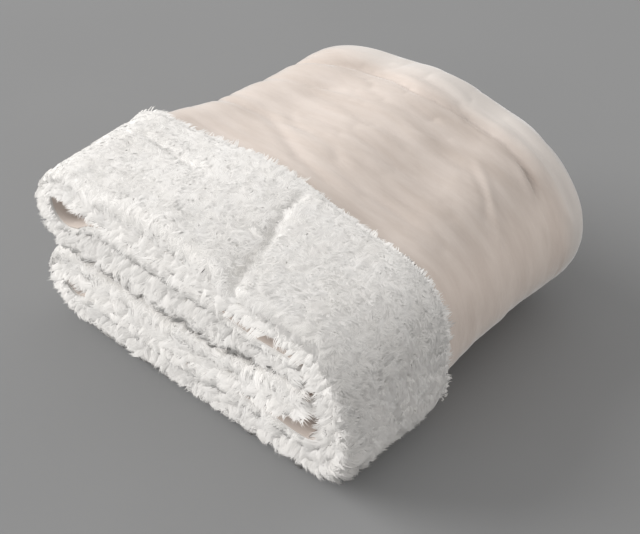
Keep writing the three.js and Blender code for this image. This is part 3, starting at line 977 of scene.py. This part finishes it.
def hem_tufts(rng, width, leaning):
    """For each wisp: its root, its way from its tuft's middle, its sideways path and length."""
    roots = jittered(ROUTE_LENGTH, width, HEM_WISP_STEP, rng).reshape(-1, 2)
    tufts = jittered(ROUTE_LENGTH, width, HEM_TUFT_SPACING, rng, HEM_TUFT_SPREAD)
    away, number = nearest_tuft(roots, tufts, HEM_TUFT_SPACING)
    own, count = len(roots), tufts.shape[0] * tufts.shape[1]
    lean = rng.normal(0, leaning, (count, 2))[number] + rng.normal(0, HEM_LEAN_SPREAD, (own, 2))
    gathered = rng.uniform(*HEM_GATHERED, count)[number] * rng.uniform(*GATHERED_SHARE, own)
    length = rng.uniform(*HEM_LENGTH, count)[number] * rng.uniform(*HEM_LENGTH_SHARE, own)
    off_middle = np.linalg.norm(away, axis=1) / HEM_TUFT_SPACING
    length = length * (HEM_MIDDLE_LENGTH - HEM_RIM_LOSS * off_middle)
    pulled_in = -away * gathered[:, None]
    sideways = pulled_in[:, None] * WISP_LEVELS[:, None] + lean[:, None] * LEAN_CURVE[:, None]
    return roots, away, sideways, length


# The cuff's hem: its edge face, the stretches of the route where tufts grow on it, and where they
# get shorter, low on the wrap
CUFF_HEM_OFFSETS = (-3.0, 6.0)
CUFF_HEM_LEANING = 1.6
CUFF_HEM_ROOTS_AT = 4.5
CUFF_HEM_OPEN = ((TOP_ROLL - 0.1, WRAP + 0.62), (LOW_ROLL - 0.1, RUN_3 + 0.1))
CUFF_HEM_LENGTH = 0.82
CUFF_HEM_LOSS = 0.59
CUFF_HEM_LOSS_SPAN = (WRAP + 0.45, WRAP + 0.72)
EDGE_TURN = -1.3
EDGE_TURN_SPAN = (6, -1)


def cuff_hem_wisps(rng):
    """Tufts that grow out of the cuff's edge, over the plush beside it."""
    low, high = CUFF_HEM_OFFSETS
    roots, away, sideways, length = hem_tufts(rng, high - low, CUFF_HEM_LEANING)
    route = route_at(roots[:, 0])
    length *= CUFF_HEM_LENGTH - CUFF_HEM_LOSS * smooth(*CUFF_HEM_LOSS_SPAN, route)
    length = length[:, None]
    paths = np.stack([
        roots[:, :1] + sideways[..., 0],
        CUFF_HEM_ROOTS_AT - length * CUFF_HEM_CURVE,
        low + roots[:, 1:] + sideways[..., 1] + length * CUFF_HEM_ARCH,
    ], -1)
    tilt = np.stack([HEM_TUFT_SLOPE / 2 * away[:, 0],
                     EDGE_TURN * smooth(*EDGE_TURN_SPAN, low + roots[:, 1])], -1)
    shown = np.any([(start <= route) & (route <= end) for start, end in CUFF_HEM_OPEN], axis=0)
    return paths[shown], tilt[shown]


# The inner layer's hem: its edge face, and spans across it from its plush side. Its wisps fan
# out, and reach further over at two stretches of the route, given by distance.
INNER_HEM_OFFSETS = (-6.0, 16.5)
INNER_HEM_LEANING = 3.2
INNER_HEM_ROOTS_IN = 1.5
INNER_HEM_LONGER = 0.25
INNER_HEM_LONGER_TO = 10
HEM_FAN = 0.22
HEM_FAN_MIDDLE = 7
OVER_PLUSH = 2.2
OVER_PLUSH_SPAN = (6, 1)
BARE_SPAN = (6.5, 2.5)
FILL = 5
FILL_SPAN = (9, 3)
WRAP_FILLED = ((672, 720), (870, 820))
TROUGH_FILLED = ((598, 612), (652, 642))


def inner_hem_wisps(rng):
    """Tufts that grow towards the near end out of the inner layer's edge, and fill the folds."""
    low, high = INNER_HEM_OFFSETS
    roots, away, sideways, length = hem_tufts(rng, high - low, INNER_HEM_LEANING)
    distance, across = roots.T
    bare = parted(distance, "bare") * smooth(*BARE_SPAN, across)
    filled = within(WRAP_FILLED, distance) + within(TROUGH_FILLED, distance)
    inwards = (HEM_FAN * (across - HEM_FAN_MIDDLE)
               - OVER_PLUSH * smooth(*OVER_PLUSH_SPAN, across) * (1 - bare)
               - FILL * filled * smooth(*FILL_SPAN, across))
    length = length + INNER_HEM_LONGER * np.minimum(across, INNER_HEM_LONGER_TO)
    length = (length * (1 - bare))[:, None]
    paths = np.stack([
        roots[:, :1] + sideways[..., 0],
        CLOTH_LENGTH - INNER_HEM_ROOTS_IN + length * INNER_HEM_CURVE,
        low + roots[:, 1:] + sideways[..., 1] + inwards[:, None] * LEAN_CURVE,
    ], -1)
    return paths, HEM_TUFT_SLOPE * away


# The side hems, at both ends of the route: by the near folds, and at the inner layer's hem
SIDE_HEM_OFFSETS = (-1.0, 8.5)
SIDE_HEM_SPANS = ((NEAR_FOLD_AT - 26, BODY_AT + 26), (CLOTH_LENGTH - 26, CLOTH_LENGTH + 3))
SIDE_HEM_ROOTS_IN = 2
SIDE_WISP_STEP = 1.9
SIDE_WISP_LENGTH = (7, 12)
SIDE_LEAN = 4.5
SIDE_LEAN_SIZE = 6
SIDE_LEAN_SEEDS = (51, 52)
SIDE_LEAN_SPREAD = 0.8


def side_hem_wisps(rng):
    """Wisps that grow past the ends of runs 2 and 3, into the space inside the wrap."""
    low, high = SIDE_HEM_OFFSETS
    paths = []
    for edge, way in ((0, -1), (ROUTE_LENGTH, 1)):
        for start, end in SIDE_HEM_SPANS:
            roots = jittered(end - start, high - low, SIDE_WISP_STEP, rng).reshape(-1, 2)
            own = len(roots)
            lean = SIDE_LEAN * np.stack([lattice_noise(roots, SIDE_LEAN_SIZE, seed)
                                         for seed in SIDE_LEAN_SEEDS], -1)
            lean += rng.normal(0, SIDE_LEAN_SPREAD, (own, 2))
            length = rng.uniform(*SIDE_WISP_LENGTH, own)[:, None]
            paths.append(np.stack([
                edge + way * (length * WISP_LEVELS - SIDE_HEM_ROOTS_IN),
                start + roots[:, :1] + lean[:, :1] * SIDE_LEAN_CURVE,
                low + roots[:, 1:] + lean[:, 1:] * SIDE_LEAN_CURVE,
            ], -1))
    paths = np.concatenate(paths)
    return paths, np.zeros((len(paths), 2))


# A wisp's normals are softened: they are nearly the pile's own way out, and turn towards the near
# end round the near folds and on the inner layer's hem.
TOWARDS_END = np.array([0.0, -0.9, 0.45])
PAST_FRONT = 0.85
PAST_FRONT_SPAN = (NEAR_FOLD_AT + 6, NEAR_FOLD_AT + 15)
HEM_OUTWARD = 0.2
SOFTENED = 0.985
SIDE_HEM_MARGIN = 1
TINY = 1e-9


def unit(ways):
    return ways / (np.linalg.norm(ways, axis=-1, keepdims=True) + TINY)


def pile_place(distance, along, offset):
    """Points by distance on the route, which go straight on past the side hems."""
    inside = np.clip(distance, SIDE_HEM_MARGIN, ROUTE_LENGTH - SIDE_HEM_MARGIN)
    here = on_cloth(route_at(inside), along, offset)
    beyond = distance != inside
    if beyond.any():
        at = inside[beyond], along[beyond], offset[beyond]
        one_further = on_cloth(route_at(at[0] + 1), *at[1:]) - here[beyond]
        here[beyond] += (distance - inside)[beyond][:, None] * one_further
    return here


def shaded_outward(roots, tilt):
    """The way out of the pile at each root, tilted by the side of its tuft."""
    here = pile_place(*roots.T)
    beside, beyond, outward = (unit(pile_place(*(roots + step).T) - here) for step in np.eye(3))
    along = roots[:, 1:2]
    past_front = PAST_FRONT * smooth(*PAST_FRONT_SPAN, along)
    on_face = mix(outward, TOWARDS_END, past_front) + tilt[:, 1:] * beyond
    on_hem = TOWARDS_END + (HEM_OUTWARD + tilt[:, 1:]) * outward
    return unit(np.where(along > RETURN_AT, on_hem, on_face) + tilt[:, :1] * beside)


def wisp_faces():
    """One wisp's faces, by the numbers of its points: quads, and the triangles at its ends."""
    side = np.arange(WISP_SIDES)
    low = np.stack([side, (side + 1) % WISP_SIDES], -1)
    high = low + WISP_SIDES
    tip = np.full((WISP_SIDES, 1), 2 * WISP_SIDES)
    return np.hstack([low, high[:, ::-1]]), np.vstack([np.hstack([high, tip]), side[::-1]])


def wisp_mesh(paths, tilt, rng):
    """Tapering tubes round the paths: points, quads, triangles, and a normal for each point."""
    count = len(paths)
    line = pile_place(*np.moveaxis(paths, -1, 0))
    line[..., 2] -= WISP_SAG * WISP_LEVELS ** 2
    direction = unit(np.gradient(line, axis=1))
    across = unit(np.cross(direction, rng.normal(0, 1, (count, 1, 3))))
    beside = np.cross(direction, across)
    radius = rng.uniform(*WISP_RADIUS, count)[:, None] * (1 - WISP_TAPER * WISP_LEVELS[:-1])
    angle = 2 * math.pi * np.arange(WISP_SIDES) / WISP_SIDES
    ring = (across[:, :-1, None] * np.cos(angle)[:, None]
            + beside[:, :-1, None] * np.sin(angle)[:, None])
    rings = line[:, :-1, None] + ring * radius[:, :, None, None]
    points = np.concatenate([rings.reshape(count, -1, 3), line[:, -1:]], 1)
    points[..., 2] = np.maximum(points[..., 2], OVER_FLOOR)

    middles = np.concatenate([np.repeat(line[:, :-1], WISP_SIDES, axis=1), line[:, -2:-1]], 1)
    outward = shaded_outward(paths[:, 0], tilt)[:, None]
    normals = unit(unit(points - middles) * (1 - SOFTENED) + outward * SOFTENED)
    first = (np.arange(count) * points.shape[1])[:, None, None]
    quads, ends = ((faces + first).reshape(-1, faces.shape[1]) for faces in wisp_faces())
    return points.reshape(-1, 3), quads, ends, normals.reshape(-1, 3)


# The lowest part of the cuff's edge, by the length from its hem and by its offset
EDGE_SHADE_LENGTH = 8
EDGE_SHADE_OFFSET = 0.5


def add_pile():
    """The pile's pieces: the low fibres of the cuff's edge, which shade the plush, and the rest.

    Real fibres scatter the light, so the rest casts no shade.
    """
    rng = np.random.default_rng(PILE_SEED)
    growths = [grow(rng) for grow in (face_wisps, cuff_hem_wisps, inner_hem_wisps, side_hem_wisps)]
    paths, tilt = (np.concatenate(parts) for parts in zip(*growths))
    distance, along, offset = paths[:, 0].T
    order = np.argsort(distance, kind="stable")
    shading = (along[order] < EDGE_SHADE_LENGTH) & (offset[order] < EDGE_SHADE_OFFSET)
    rest = order[~shading]
    shares = {"sherpa_pile_edge": order[shading]}
    for n, share in enumerate(np.array_split(rest, math.ceil(len(rest) / WISPS_IN_A_PIECE))):
        shares[f"sherpa_pile_{n + 1}"] = share
    pieces = []
    for name, share in shares.items():
        points, quads, ends, normals = wisp_mesh(paths[share], tilt[share], rng)
        piece = new_object(name, points, [quads, ends], SHERPA, normals)
        piece.visible_shadow = name == "sherpa_pile_edge"
        piece.visible_diffuse = piece.visible_shadow
        pieces.append(piece)
    return pieces


pile = add_pile()


# Floor and light

FLOOR_REACH = 6.0
FLOOR_COLOURS = (srgb(141, 141, 141), srgb(144, 144, 144))
LIT_POINT = Vector((0, 0, 0.08))
LIGHT_DISTANCE = 10.0
KEY_LIGHT = dict(direction=(-0.87, -0.40, 0.51), size=8.0, power=850)
BACK_LIGHT = dict(direction=(0.35, 1.0, 0.45), size=6.5, power=88)
WORLD_STRENGTH = 0.64


def add_floor():
    mesh = bpy.data.meshes.new("floor")
    corners = [(x * FLOOR_REACH, y * FLOOR_REACH, 0)
               for x, y in ((-1, -1), (1, -1), (1, 1), (-1, 1))]
    mesh.from_pydata(corners, [], [(0, 1, 2, 3)])
    floor = add_object("floor", mesh)
    nodes = Nodes("floor")
    tone = nodes.noise(scale=3.0, detail=2.0)
    mesh.materials.append(nodes.shade(
        Base_Color=nodes.ramp(tone, TONE_SPAN, FLOOR_COLOURS), Roughness=0.95))


def add_light(name, direction, size, power):
    data = bpy.data.lights.new(name, "AREA")
    data.shape = "DISK"
    data.size = size
    data.energy = power
    light = add_object(name, data)
    towards = Vector(direction).normalized()
    light.location = LIT_POINT + towards * LIGHT_DISTANCE
    light.rotation_euler = towards.to_track_quat("Z", "Y").to_euler()


def add_world():
    world = bpy.data.worlds.new("studio")
    world.use_nodes = True
    background = world.node_tree.nodes["Background"]
    background.inputs["Color"].default_value = (1, 1, 1, 1)
    background.inputs["Strength"].default_value = WORLD_STRENGTH
    bpy.context.scene.world = world


add_floor()
add_light("key", **KEY_LIGHT)
add_light("back", **BACK_LIGHT)
add_world()
bpy.context.scene.view_settings.view_transform = "Standard"

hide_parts("sherpa_back")
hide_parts("plush_face")
